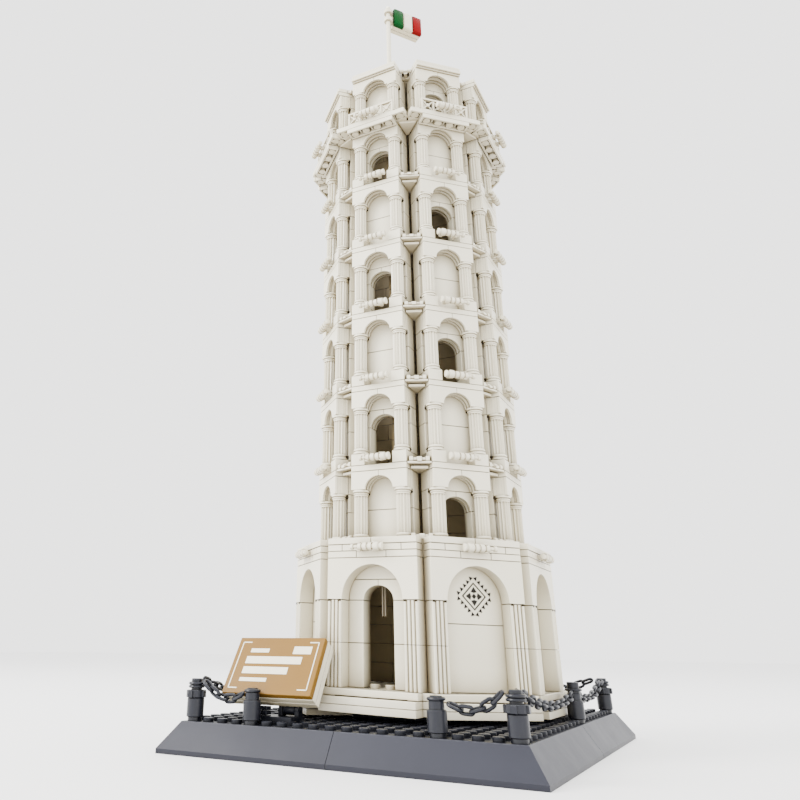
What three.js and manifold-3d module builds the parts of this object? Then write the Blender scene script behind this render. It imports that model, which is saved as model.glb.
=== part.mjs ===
// Miniature landmark model: an eight-sided arcaded tower of plastic bricks on a fenced display base.
// Millimetres, +Z up. The origin is the centre of the base's underside, and -Y is the front.
import * as THREE from 'three';
import { mergeVertices } from 'three/addons/utils/BufferGeometryUtils.js';
import Module from 'manifold-3d';

const wasm = await Module();
wasm.setup();

// Driving dimensions
const STUD = 8; // pitch of the studs
const PLATE = 3.2; // height of one plate
const BRICK = 3 * PLATE;
const GAP = 0.3; // clearance between pieces

const FIELD_X = 20 * STUD; // studded field of the base
const FIELD_Y = 24 * STUD;
const BORDER = STUD; // width of the sloped border
const BASE_TOP = 4 * PLATE;
const BASE_LIP = 2; // height of the border's outer edge
const STUD_RADIUS = 2.4;
const STUD_HEIGHT = 1.7;

const SIDES = 8;
const LEAN = 1.4; // degrees, towards +X
const TOWER_X = 2; // the tower's axis at table height
const TOWER_Y = 2;
const PLINTH_BOTTOM = 17.6; // on the tower's axis
const PLINTH_FACE = 73; // distance from the tower's axis to a face of the plinth
const PLINTH_SIDE_FACE = 68.8; // the same beside the fence's side posts
const GROUND_FACE = 66; // the same for the ground storey
const GALLERY_FACE = 56.3; // the same for the galleries
const GROUND_WIDTH = 6 * STUD; // width of one ground panel
const GALLERY_WIDTH = 4 * STUD; // width of one gallery panel
const ARCH_RISE = 6.8; // rise of an arch two studs wide
const DOOR_WIDTH = 2 * STUD;
const COLUMN_RADIUS = 3.9;
const COLUMN_SEGMENTS = 6;
const ARCH_SEGMENTS = 2; // segments in a quarter of an arch

const PLINTH_TOP = PLINTH_BOTTOM + 3 * PLATE;
const PILASTER_TOP = PLINTH_TOP + 4 * BRICK;
const GROUND_TOP = PILASTER_TOP + 2 * BRICK;
const FLOOR_HEIGHT = BRICK; // floor plate and pedestals under each gallery
const GALLERY_HEIGHT = 11 * PLATE; // columns and arches
const STOREY = FLOOR_HEIGHT + GALLERY_HEIGHT;
const FIRST_GALLERY = 2;
const LAST_GALLERY = 7;

const SLAB_FACE = GALLERY_FACE + 2.4; // roof slab over the belfry
const POLE_X = 3;
const POLE_Y = -36;
const POLE_RADIUS = 1.6;
const POLE_LENGTH = 80;
const FLAG_HEADING = 55; // degrees from +X

const PLAQUE_WIDTH = 6 * STUD;
const PLAQUE_HEIGHT = 28;
const PLAQUE_TILT = 32; // degrees back from upright
const PLAQUE_X = -40.2;
const HINGE_Y = -77.9; // hinge axis of the plaque
const HINGE_Z = 18.4;
const HINGE_RADIUS = 2.2;

const CHAIN_RADIUS = 1.9; // half the width of the links
const CHAIN_SAG = 5;
const SHORT_SAG = 4.5;

// Materials
const plastic = (color, roughness = 0.3) =>
  new THREE.MeshStandardMaterial({ color, roughness, metalness: 0 });
const WHITE = plastic(0xf1ede1);
const TAN = plastic(0xd9d0b8);
const GREY = plastic(0x5a5d68);
const DARK = plastic(0x45474f);
const GOLD = plastic(0xc1984f);
const GREEN = plastic(0x0a6a2a);
const RED = plastic(0xb01417);

// Solids: three.js geometry joined and cut with manifold-3d
const toSolid = (geometry) => {
  const bare = geometry.clone();
  bare.deleteAttribute('normal');
  bare.deleteAttribute('uv');
  const merged = mergeVertices(bare, 1e-4);
  const mesh = new wasm.Mesh({
    numProp: 3,
    vertProperties: new Float32Array(merged.attributes.position.array),
    triVerts: new Uint32Array(merged.index.array),
  });
  return new wasm.Manifold(mesh);
};

const toGeometry = (solid) => {
  const { vertProperties, triVerts } = solid.getMesh();
  const geometry = new THREE.BufferGeometry();
  geometry.setAttribute('position', new THREE.BufferAttribute(new Float32Array(vertProperties), 3));
  geometry.setIndex(new THREE.BufferAttribute(new Uint32Array(triVerts), 1));
  geometry.computeVertexNormals();
  return geometry;
};

const join = (...solids) => solids.reduce((all, one) => all.add(one));

const block = (x, y, z) => {
  const geometry = new THREE.BoxGeometry(x[1] - x[0], y[1] - y[0], z[1] - z[0]);
  geometry.translate((x[0] + x[1]) / 2, (y[0] + y[1]) / 2, (z[0] + z[1]) / 2);
  return toSolid(geometry);
};

// An upright outline in X and Z, extruded from y[0] to y[1]
const upright = (shape, y) => {
  const geometry = new THREE.ExtrudeGeometry(shape, {
    depth: y[1] - y[0],
    bevelEnabled: false,
    curveSegments: ARCH_SEGMENTS,
  });
  geometry.rotateX(Math.PI / 2);
  geometry.translate(0, y[1], 0);
  return toSolid(geometry);
};

const cylinder = (radius, z, segments, x = 0, y = 0) => {
  const geometry = new THREE.CylinderGeometry(radius, radius, z[1] - z[0], segments);
  geometry.rotateX(Math.PI / 2);
  geometry.translate(x, y, (z[0] + z[1]) / 2);
  return toSolid(geometry);
};

const barAlongX = (radius, x, y, z, segments = 8) => {
  const geometry = new THREE.CylinderGeometry(radius, radius, x[1] - x[0], segments);
  geometry.rotateZ(Math.PI / 2);
  geometry.translate((x[0] + x[1]) / 2, y, z);
  return toSolid(geometry);
};

// An eight-sided prism whose faces lie at `face` from the axis
const octagon = (face, z) => {
  const radius = face / Math.cos(Math.PI / SIDES);
  const geometry = new THREE.CylinderGeometry(radius, radius, z[1] - z[0], SIDES, 1, false, Math.PI / SIDES);
  geometry.rotateX(Math.PI / 2);
  geometry.translate(0, 0, (z[0] + z[1]) / 2);
  return toSolid(geometry);
};

const octagonRing = (outer, inner, z) =>
  octagon(outer, z).subtract(octagon(inner, [z[0] - 1, z[1] + 1]));

const turned = (solid, side) => solid.rotate([0, 0, (360 / SIDES) * side]);

const aroundTower = (panel) => {
  const panels = [];
  for (let side = 0; side < SIDES; side += 1) panels.push(turned(panel(side), side));
  return join(...panels);
};

const eachCorner = (solid) => {
  const corners = [];
  for (let side = 0; side < SIDES; side += 1) corners.push(turned(solid, side + 0.5));
  return join(...corners);
};

// An opening with a rounded head, `width` wide and springing at `spring`
const archOpening = (width, rise, bottom, spring, y) => {
  const shape = new THREE.Shape();
  shape.moveTo(-width / 2, bottom);
  shape.lineTo(width / 2, bottom);
  shape.lineTo(width / 2, spring);
  shape.absellipse(0, spring, width / 2, rise, 0, Math.PI, false, 0);
  shape.lineTo(-width / 2, bottom);
  return upright(shape, y);
};

const root = new THREE.Group();
const tower = new THREE.Group();
tower.position.set(TOWER_X, TOWER_Y, 0);
tower.rotation.y = THREE.MathUtils.degToRad(LEAN);
root.add(tower);

const place = (parent, name, geometry, material) => {
  const mesh = new THREE.Mesh(geometry, material);
  mesh.name = name;
  parent.add(mesh);
  return mesh;
};

// Base: two stacked decks inside four mitred border pieces
const borderPiece = (signX, signY) => {
  const outerX = FIELD_X / 2 + BORDER;
  const outerY = FIELD_Y / 2 + BORDER;
  const ring = (inset, z) => [
    [GAP / 2, outerY - inset, z],
    [outerX - inset, outerY - inset, z],
    [outerX - inset, GAP / 2, z],
  ];
  const rings = [ring(0, 0), ring(0, BASE_LIP), ring(BORDER - GAP, BASE_TOP), ring(BORDER - GAP, 0)];
  const vertices = rings.flat().flatMap(([x, y, z]) => [x * signX, y * signY, z]);
  const faces = [];
  for (let row = 0; row < 4; row += 1) {
    const here = row * 3;
    const next = ((row + 1) % 4) * 3;
    for (let step = 0; step < 2; step += 1) {
      faces.push([here + step, here + step + 1, next + step + 1]);
      faces.push([here + step, next + step + 1, next + step]);
    }
  }
  faces.push([0, 3, 6], [0, 6, 9], [2, 8, 5], [2, 11, 8]);
  const flipped = signX * signY < 0;
  const geometry = new THREE.BufferGeometry();
  geometry.setAttribute('position', new THREE.Float32BufferAttribute(vertices, 3));
  geometry.setIndex(faces.flatMap(([a, b, c]) => (flipped ? [a, b, c] : [a, c, b])));
  geometry.computeVertexNormals();
  return geometry;
};

for (const [x, right] of [[-1, 'left'], [1, 'right']]) {
  for (const [y, front] of [[-1, 'front'], [1, 'back']]) {
    place(root, `border_${front}_${right}`, borderPiece(x, y), GREY);
  }
}

const studX = (column) => -FIELD_X / 2 + STUD * (column + 0.5);
const studY = (row) => -FIELD_Y / 2 + STUD * (row + 0.5);
const LAST_COLUMN = FIELD_X / STUD - 1;
const LAST_ROW = FIELD_Y / STUD - 1;

// Fence posts: name, column, row and kind
const POSTS = [
  ['front_left', 0, 0, 'corner'],
  ['front_inner_left', 4, 0, 'plain'],
  ['front_inner_right', LAST_COLUMN - 4, 0, 'plain'],
  ['front_right', LAST_COLUMN, 0, 'corner'],
  ['side_right', LAST_COLUMN, 13, 'tall'],
  ['back_right', LAST_COLUMN, LAST_ROW, 'corner'],
  ['back_middle', 10, LAST_ROW, 'tall'],
  ['back_left', 0, LAST_ROW, 'corner'],
  ['side_left', 0, 13, 'tall'],
];
const postAt = (column, row) => POSTS.some(([, c, r]) => c === column && r === row);

const baseInside = (z) =>
  block([-FIELD_X / 2, FIELD_X / 2], [-FIELD_Y / 2, FIELD_Y / 2], z);

const studsOnEdge = () => {
  const studs = [];
  const standing = [BASE_TOP - 0.5, BASE_TOP + STUD_HEIGHT];
  for (let column = 0; column <= LAST_COLUMN; column += 1) {
    for (let row = 0; row <= LAST_ROW; row += 1) {
      const edge = column === 0 || row === 0 || column === LAST_COLUMN || row === LAST_ROW;
      if (edge && !postAt(column, row)) {
        studs.push(cylinder(STUD_RADIUS, standing, 6, studX(column), studY(row)));
      }
    }
  }
  return studs;
};

place(root, 'base_lower_deck', toGeometry(baseInside([0, BASE_TOP - PLATE - GAP])), DARK);
const studdedDeck = join(baseInside([BASE_TOP - PLATE, BASE_TOP]), ...studsOnEdge());
place(root, 'base_studded_deck', toGeometry(studdedDeck), GREY);

// Fence posts
const NECK = BRICK + PLATE;
const BODY_PROFILE = [[3.3, 0], [3.3, 1.6], [4, 1.6], [4, BRICK]];
const POST_PROFILES = {
  plain: [...BODY_PROFILE, [3.2, BRICK], [3.2, NECK], [2.6, NECK], [2.6, NECK + STUD_HEIGHT]],
  tall: [...BODY_PROFILE, [3.2, BRICK], [3.2, NECK], [2.9, NECK], [2.9, NECK + PLATE + STUD_HEIGHT]],
  corner: [...BODY_PROFILE, [5.3, BRICK], [5.3, NECK], [2.6, NECK], [2.6, NECK + PLATE + STUD_HEIGHT]],
};
const HOOK_HEIGHT = { plain: BRICK + 2.5, tall: BRICK + 2.5, corner: NECK + 3.8 };
const HOOK_REACH = 4.8; // from a post's axis to the end of a chain

const postGeometry = (kind) => {
  const outline = POST_PROFILES[kind];
  const top = outline[outline.length - 1][1];
  const points = [[0, 0], ...outline, [0, top]].map(([r, z]) => new THREE.Vector2(r, z));
  const geometry = new THREE.LatheGeometry(points, 8);
  geometry.rotateX(Math.PI / 2);
  return toGeometry(toSolid(geometry));
};

const hooks = {};
for (const [name, column, row, kind] of POSTS) {
  const post = place(root, `post_${name}`, postGeometry(kind), DARK);
  post.position.set(studX(column), studY(row), BASE_TOP + GAP);
  hooks[name] = new THREE.Vector3(studX(column), studY(row), BASE_TOP + GAP + HOOK_HEIGHT[kind]);
}

// Chains: each hangs between two posts
const chainGeometry = (from, to, sag) => {
  const reach = to.clone().sub(from).setZ(0).normalize().multiplyScalar(HOOK_REACH);
  const start = from.clone().add(reach);
  const end = to.clone().sub(reach);
  const middle = start.clone().add(end).multiplyScalar(0.5);
  middle.z -= 2 * sag;
  const curve = new THREE.QuadraticBezierCurve3(start, middle, end);
  const section = new THREE.Shape();
  section.absarc(0, 0, CHAIN_RADIUS, 0, 2 * Math.PI, false);
  const geometry = new THREE.ExtrudeGeometry(section, {
    steps: 8,
    extrudePath: curve,
    bevelEnabled: false,
    curveSegments: 3,
  });
  return toGeometry(toSolid(geometry));
};

const CHAINS = [
  ['front_left', 'front_left', 'front_inner_left', SHORT_SAG],
  ['front_right', 'front_inner_right', 'front_right', SHORT_SAG],
  ['right_front', 'front_right', 'side_right', CHAIN_SAG],
  ['right_back', 'side_right', 'back_right', CHAIN_SAG],
  ['back_right', 'back_right', 'back_middle', CHAIN_SAG],
  ['back_left', 'back_middle', 'back_left', CHAIN_SAG],
  ['left_back', 'back_left', 'side_left', CHAIN_SAG],
  ['left_front', 'side_left', 'front_left', CHAIN_SAG],
];
for (const [name, from, to, sag] of CHAINS) {
  place(root, `chain_${name}`, chainGeometry(hooks[from], hooks[to], sag), DARK);
}

// Footing under the tower: its top is cut to the lean
const footing = () => {
  const underPlinth = block([-90, 90], [-90, 90], [-40, PLINTH_BOTTOM - GAP]).rotate([0, LEAN, 0]);
  return octagon(46, [BASE_TOP + GAP, PLINTH_BOTTOM + 6]).intersect(underPlinth);
};
place(root, 'tower_footing', toGeometry(footing()), DARK).position.set(TOWER_X, TOWER_Y, 0);

// Plinth: one solid floor with a stepped foot on each side
const plinth = () => {
  const half = GROUND_WIDTH / 2;
  const foot = (side) => {
    const beside = side === 2 || side === 6;
    const face = beside ? PLINTH_SIDE_FACE : PLINTH_FACE;
    return join(
      block([-half, half], [-face, -GROUND_FACE + 6], [PLINTH_BOTTOM, PLINTH_BOTTOM + 2 * PLATE]),
      block([-half, half], [-face + 3, -GROUND_FACE + 6], [PLINTH_BOTTOM, PLINTH_TOP - GAP]),
    );
  };
  return join(octagon(GROUND_FACE - 1, [PLINTH_BOTTOM, PLINTH_TOP - GAP]), aroundTower(foot));
};
place(tower, 'plinth', toGeometry(plinth()), WHITE);

// Packing plates under the raised side of the plinth
const leanShim = () => {
  const half = GROUND_WIDTH / 2 - 1;
  const layer = [PLINTH_BOTTOM - PLATE + 0.4, PLINTH_BOTTOM - GAP];
  const plate = block([-half, half], [-PLINTH_FACE + 2, -48], layer);
  return join(turned(plate, -1), turned(plate, -2), turned(plate, -3));
};
place(tower, 'lean_shim', toGeometry(leanShim()), TAN);

// Ground storey: eight panels, with a door or a blind wall behind each arch
const wedge = (z) => {
  const reach = 100;
  const spread = Math.tan(Math.PI / SIDES) * reach;
  const clear = GAP / 2 / Math.sin(Math.PI / SIDES);
  const shape = new THREE.Shape();
  shape.moveTo(0, -clear);
  shape.lineTo(-spread, -clear - reach);
  shape.lineTo(spread, -clear - reach);
  const geometry = new THREE.ExtrudeGeometry(shape, { depth: z[1] - z[0], bevelEnabled: false });
  geometry.translate(0, 0, z[0]);
  return toSolid(geometry);
};

const groundPanel = (door) => {
  const half = GROUND_WIDTH / 2;
  const wallFront = -GROUND_FACE + STUD;
  const wallBack = -GROUND_FACE + 2 * STUD;
  let wall = block([-half, half], [wallFront, wallBack], [PLINTH_TOP, GROUND_TOP - GAP]);
  if (door) {
    const opening = [wallFront - 1, wallBack + 1];
    wall = wall.subtract(archOpening(DOOR_WIDTH, ARCH_RISE, PLINTH_TOP - 1, PILASTER_TOP, opening));
  }
  const front = block([-half, half], [-GROUND_FACE, wallFront + 0.5], [PLINTH_TOP, GROUND_TOP - GAP]);
  const cut = [-GROUND_FACE - 1, wallFront + 1];
  const recess = archOpening(GALLERY_WIDTH, 2 * STUD, PLINTH_TOP - 1, PILASTER_TOP, cut);
  const panel = join(wall, front.subtract(recess));
  return panel.intersect(wedge([PLINTH_TOP - 5, GROUND_TOP + 5]));
};

const sideName = ['front', 'front_right', 'right', 'back_right', 'back', 'back_left', 'left', 'front_left'];
sideName.forEach((name, side) => {
  const panel = place(tower, `ground_panel_${name}`, toGeometry(groundPanel(side % 2 === 0)), WHITE);
  panel.rotation.z = (2 * Math.PI * side) / SIDES;
});

// A bar ornament on the front of a panel: a handle held off the wall by two arms
const barOrnament = (face, z, hold = 0.5) => {
  const outline = new THREE.Shape();
  const bar = [[-9, 5.6], [12, 5.6], [12, -hold], [9.5, -hold]];
  const inside = [[9.5, 2.6], [-6.5, 2.6], [-6.5, -hold], [-9, -hold]];
  [...bar, ...inside].forEach(([x, out], index) => {
    if (index === 0) outline.moveTo(x, -face - out);
    else outline.lineTo(x, -face - out);
  });
  const geometry = new THREE.ExtrudeGeometry(outline, { depth: 3.4, bevelEnabled: false });
  geometry.translate(0, 0, z - 1.7);
  return toSolid(geometry);
};

// Cornice over the ground storey: three plates, with an inner rim that joins the sides
const cornice = (bottom, face) => {
  const half = GROUND_WIDTH / 2;
  const top = bottom + FLOOR_HEIGHT - GAP;
  const shelf = block([-half, half], [-face, -44], [bottom, top]).intersect(wedge([bottom - 5, top + 5]));
  const side = join(shelf, barOrnament(face, bottom + 4));
  return join(octagonRing(56, 38, [bottom, top]), aroundTower(() => side));
};
place(tower, 'ground_cornice', toGeometry(cornice(GROUND_TOP, GROUND_FACE)), WHITE);

// Galleries: eight arches on columns in front of a wall, joined by a rim behind the wall
const galleryPanel = (bottom, door) => {
  const half = GALLERY_WIDTH / 2;
  const spring = bottom + 8 * PLATE;
  const top = bottom + GALLERY_HEIGHT - GAP;
  const front = -GALLERY_FACE;
  const wallFront = front + STUD;
  const wallBack = front + 2 * STUD;
  const arches = block([-half, half], [front, wallBack], [spring, top]).subtract(
    archOpening(DOOR_WIDTH, ARCH_RISE, spring - 1, spring, [front - 1, wallFront]),
  );
  let wall = block([-half, half], [wallFront, wallBack], [bottom, top]);
  if (door) {
    const opening = [wallFront - 1, wallBack + 1];
    wall = wall.subtract(archOpening(DOOR_WIDTH, ARCH_RISE, bottom - 1, spring - BRICK, opening));
  }
  const shaft = [bottom, spring + 0.5];
  const columnAt = (x) => cylinder(COLUMN_RADIUS, shaft, COLUMN_SEGMENTS, x, front + STUD / 2);
  return join(arches, wall, columnAt(-half + STUD / 2), columnAt(half - STUD / 2));
};

const gallery = (bottom, doorOnEven) => {
  const top = bottom + GALLERY_HEIGHT - GAP;
  const panels = aroundTower((side) => galleryPanel(bottom, (side % 2 === 0) === doorOnEven));
  return join(octagonRing(41.5, 38, [top - PLATE, top]), panels);
};

// Floors between galleries: a plate with two pedestals on each side and a bracket at each corner
const floorRing = (bottom) => {
  const half = GALLERY_WIDTH / 2;
  const front = -GALLERY_FACE;
  const plateTop = bottom + PLATE;
  const top = bottom + FLOOR_HEIGHT - GAP;
  const outline = new THREE.Shape();
  outline.moveTo(-half, bottom);
  outline.lineTo(half, bottom);
  outline.lineTo(half, top);
  outline.lineTo(half - STUD, top);
  outline.lineTo(half - STUD, plateTop);
  outline.lineTo(-half + STUD, plateTop);
  outline.lineTo(-half + STUD, top);
  outline.lineTo(-half, top);
  const side = join(upright(outline, [front, front + 2 * STUD]), barOrnament(GALLERY_FACE, plateTop + 2.6));
  const bracket = block([-3.4, 3.4], [-53, -43], [bottom, plateTop]);
  return join(octagonRing(43.5, 38, [bottom, plateTop]), aroundTower(() => side), eachCorner(bracket));
};

for (let storey = FIRST_GALLERY; storey <= LAST_GALLERY; storey += 1) {
  const bottom = GROUND_TOP + (storey - FIRST_GALLERY) * STOREY;
  if (storey > FIRST_GALLERY) {
    place(tower, `floor_${storey}`, toGeometry(floorRing(bottom)), WHITE);
  }
  const arcade = gallery(bottom + FLOOR_HEIGHT, storey % 2 === 1);
  place(tower, `gallery_${storey}`, toGeometry(arcade), WHITE);
}

// Belfry: a projecting cornice with railings, one more arcade and overhanging roof slabs
const BELFRY_BOTTOM = GROUND_TOP + (LAST_GALLERY - FIRST_GALLERY + 1) * STOREY;
const BELFRY_ARCADE = BELFRY_BOTTOM + FLOOR_HEIGHT;
const ROOF_BOTTOM = BELFRY_ARCADE + GALLERY_HEIGHT;

const belfryCornice = () => {
  const half = GROUND_WIDTH / 2;
  const face = GALLERY_FACE + STUD;
  const shelfTop = BELFRY_BOTTOM + PLATE;
  const shelf = block([-half, half], [-face, -44], [BELFRY_BOTTOM, shelfTop]);
  const hollow = [-face + 1.6, -GALLERY_FACE - 0.4];
  const recess = block([-half + 9.6, half - 9.6], hollow, [BELFRY_BOTTOM - 1, shelfTop - 1]);
  const inner = block([-GALLERY_WIDTH / 2, GALLERY_WIDTH / 2], [-GALLERY_FACE, -40.5],
    [BELFRY_BOTTOM, BELFRY_ARCADE - GAP]);
  const rail = block([-GALLERY_WIDTH / 2, GALLERY_WIDTH / 2], [-face + 1.2, -face + 3.2],
    [shelfTop - 0.5, shelfTop + BRICK + 1.6]);
  const side = join(shelf.subtract(recess).intersect(wedge([BELFRY_BOTTOM - 5, shelfTop + 5])), inner, rail,
    barOrnament(face, shelfTop + 2.4, 1.6));
  return join(octagonRing(50, 38, [BELFRY_BOTTOM, shelfTop]), aroundTower(() => side));
};
place(tower, 'belfry_cornice', toGeometry(belfryCornice()), WHITE);
place(tower, 'belfry_arcade', toGeometry(gallery(BELFRY_ARCADE, false)), WHITE);

const roofSlabs = () => {
  const half = GALLERY_WIDTH / 2;
  const slab = join(
    block([-half, half], [-SLAB_FACE, -44], [ROOF_BOTTOM, ROOF_BOTTOM + PLATE]),
    block([-half, half], [-SLAB_FACE + 1.4, -44], [ROOF_BOTTOM, ROOF_BOTTOM + 2 * PLATE]),
  );
  return join(octagonRing(48, 42, [ROOF_BOTTOM, ROOF_BOTTOM + PLATE]), aroundTower(() => slab));
};
place(tower, 'roof_slabs', toGeometry(roofSlabs()), WHITE);

const roofDeck = () => {
  const top = ROOF_BOTTOM + PLATE;
  const collar = cylinder(4, [top - 0.5, top + 5], 10, POLE_X, POLE_Y);
  const socket = cylinder(POLE_RADIUS + GAP, [top, top + 6], 8, POLE_X, POLE_Y);
  return octagon(42 - GAP, [ROOF_BOTTOM, top]).add(collar).subtract(socket);
};
place(tower, 'roof_deck', toGeometry(roofDeck()), WHITE);

// Two crossing walls stand inside the shaft and brace the tower
const CORE_HALF = 34;
const towerCore = () => {
  const height = [PLINTH_TOP + GAP, ROOF_BOTTOM - GAP];
  const thin = [-PLATE / 2, PLATE / 2];
  return join(
    block([-CORE_HALF, CORE_HALF], thin, height),
    block(thin, [-CORE_HALF, CORE_HALF], height),
  );
};
place(tower, 'tower_core', toGeometry(towerCore()), TAN);

// Flagpole and flag
const POLE_BOTTOM = ROOF_BOTTOM + PLATE + GAP;
const POLE_TOP = POLE_BOTTOM + POLE_LENGTH;
const pole = cylinder(POLE_RADIUS, [POLE_BOTTOM, POLE_TOP], 10, POLE_X, POLE_Y);
place(tower, 'flagpole', toGeometry(pole), WHITE);

const flag = new THREE.Group();
flag.position.set(POLE_X, POLE_Y, POLE_TOP - 17.5);
flag.rotation.z = THREE.MathUtils.degToRad(FLAG_HEADING);
tower.add(flag);
const FLAG_START = 4; // from the pole's axis to the first tile

const flagBacking = () => {
  const plates = block([FLAG_START, FLAG_START + 3 * STUD], [0, 2 * PLATE], [0, 2 * STUD]);
  const clips = [4, 12].map((z) =>
    cylinder(POLE_RADIUS + 1.5, [z - 1.6, z + 1.6], 10)
      .subtract(cylinder(POLE_RADIUS + GAP, [z - 3, z + 3], 10))
      .add(block([POLE_RADIUS + 0.8, FLAG_START + 0.5], [0, 1.8], [z - 1.6, z + 1.6])),
  );
  return join(plates, ...clips);
};
place(flag, 'flag_backing', toGeometry(flagBacking()), WHITE);
[['green', GREEN], ['white', WHITE], ['red', RED]].forEach(([name, material], index) => {
  const start = FLAG_START + index * STUD;
  const tile = block([start + 0.2, start + STUD - 0.2], [-PLATE, -GAP], [0, 2 * STUD]);
  place(flag, `flag_tile_${name}`, toGeometry(tile), material);
});

// Plaque on a hinge: the board turns about an axis along X
const board = new THREE.Group();
board.position.set(PLAQUE_X, HINGE_Y, HINGE_Z);
board.rotation.x = -THREE.MathUtils.degToRad(PLAQUE_TILT);
root.add(board);
const BOARD_BOTTOM = 0;
const BOARD_BACK = -HINGE_RADIUS - GAP;
const BOARD_FRONT = BOARD_BACK - 3 * PLATE;

const boardPlate = (y) =>
  block([-PLAQUE_WIDTH / 2, PLAQUE_WIDTH / 2], y, [BOARD_BOTTOM, BOARD_BOTTOM + PLAQUE_HEIGHT]);
place(board, 'plaque_face', toGeometry(boardPlate([BOARD_FRONT, BOARD_FRONT + PLATE - GAP])), GOLD);
place(board, 'plaque_backing', toGeometry(boardPlate([BOARD_FRONT + PLATE, BOARD_BACK])), WHITE);

const KNUCKLE = [5, 11]; // the leaf's knuckle, from the middle of the board
const LEAF_FRONT = BOARD_BACK + GAP;
const leaf = () =>
  join(
    barAlongX(HINGE_RADIUS, KNUCKLE, 0, 0, 10),
    block(KNUCKLE, [LEAF_FRONT, LEAF_FRONT + PLATE], [-0.5, 12]),
  );
place(board, 'plaque_hinge_leaf', toGeometry(leaf()), DARK);

const hingeBase = () => {
  const bottom = BASE_TOP + GAP;
  const top = HINGE_Z - HINGE_RADIUS - GAP;
  const knuckle = KNUCKLE.map((x) => PLAQUE_X + x);
  const left = knuckle[0] - 2.4;
  const right = knuckle[1] + 2.4;
  const start = right - 3 * STUD;
  const front = HINGE_Y - 8.5;
  const foot = block([start, right], [front, HINGE_Y + STUD / 2], [bottom, top]);
  const stack = block([start, left - 2], [front, HINGE_Y - 4.2], [bottom, HINGE_Z + 2]);
  const cheek = (x) => join(
    barAlongX(HINGE_RADIUS, x, HINGE_Y, HINGE_Z, 10),
    block(x, [HINGE_Y - HINGE_RADIUS, HINGE_Y + HINGE_RADIUS], [top - 0.5, HINGE_Z]),
  );
  return join(foot, stack, cheek([left, knuckle[0] - GAP]), cheek([knuckle[1] + GAP, right]));
};
place(root, 'plaque_hinge_base', toGeometry(hingeBase()), DARK);

export default root;
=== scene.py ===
# Miniature landmark model: an arcaded tower of plastic bricks on a fenced display base.
# Shapes are made in millimetres in the model's own frame and turned into metres when they become meshes.
import math

import bmesh
import bpy
from mathutils import Matrix, Vector


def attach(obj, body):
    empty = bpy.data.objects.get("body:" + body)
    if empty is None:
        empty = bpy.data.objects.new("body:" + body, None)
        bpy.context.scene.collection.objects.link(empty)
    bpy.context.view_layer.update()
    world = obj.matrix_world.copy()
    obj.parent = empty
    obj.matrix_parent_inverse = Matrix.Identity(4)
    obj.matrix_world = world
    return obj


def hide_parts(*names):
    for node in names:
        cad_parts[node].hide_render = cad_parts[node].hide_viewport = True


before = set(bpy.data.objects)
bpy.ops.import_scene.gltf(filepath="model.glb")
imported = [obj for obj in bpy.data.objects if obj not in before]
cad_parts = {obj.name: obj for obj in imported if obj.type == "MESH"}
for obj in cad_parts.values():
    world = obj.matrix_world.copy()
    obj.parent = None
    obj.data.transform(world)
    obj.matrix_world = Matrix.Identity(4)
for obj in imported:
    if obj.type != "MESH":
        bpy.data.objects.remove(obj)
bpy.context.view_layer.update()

MM = 0.001
STUD = 8.0
PLATE = 3.2
BRICK = 9.6
SEAM = 0.12  # half of the visible joint between two bricks
STUD_R = 2.4
STUD_H = 1.7
EIGHTH = math.pi / 4
FLUTE_SHARPNESS = 0.6  # under 1 makes the ridges between flutes narrower than the flutes

# The base's field is counted in studs
COLUMNS, ROWS = 20, 24
BASE_Z = 12.8

# Levels along the tower's own axis
PLINTH_Z = 17.6
GROUND_Z = PLINTH_Z + 3 * PLATE
SPRING = 4 * BRICK
CORNICE_Z = GROUND_Z + 6 * BRICK
STOREY = 44.8
GALLERY_H = 11 * PLATE
BELFRY_Z = CORNICE_Z + 6 * STOREY
ROOF_Z = BELFRY_Z + BRICK + GALLERY_H

# Distances from the tower's axis to the front of each side, and each wall's front and back along Y
FACE = 56.3
GROUND_FACE = 66.0
GROUND_LAYER = (-GROUND_FACE, -58.1)
GROUND_WALL = (-58.0, -50.1)
GALLERY_WALL = (-48.3, -40.4)
GROUND_HALF = 24.0  # half a side's width
GALLERY_HALF = 15.95
COLUMN_X = 12
COLUMN_Y = -52.3

# The pole's place on the roof and the plaque's hinge line
POLE_X, POLE_Y = 3, -36
HINGE_X, HINGE_Y, HINGE_Z = -40.2, -77.9, 18.4

LEAN = math.radians(1.4)
TOWER = Matrix.Translation((2 * MM, 2 * MM, 0)) @ Matrix.Rotation(LEAN, 4, "Y")


# ---- shapes
def ring_faces(rings, segments, closed=False):
    """Faces between rings of vertices that follow one another."""
    faces = []
    for ring in range(rings if closed else rings - 1):
        near, far = ring * segments, (ring + 1) % rings * segments
        for step in range(segments):
            after = (step + 1) % segments
            faces.append((near + step, near + after, far + after, far + step))
    return faces


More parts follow.
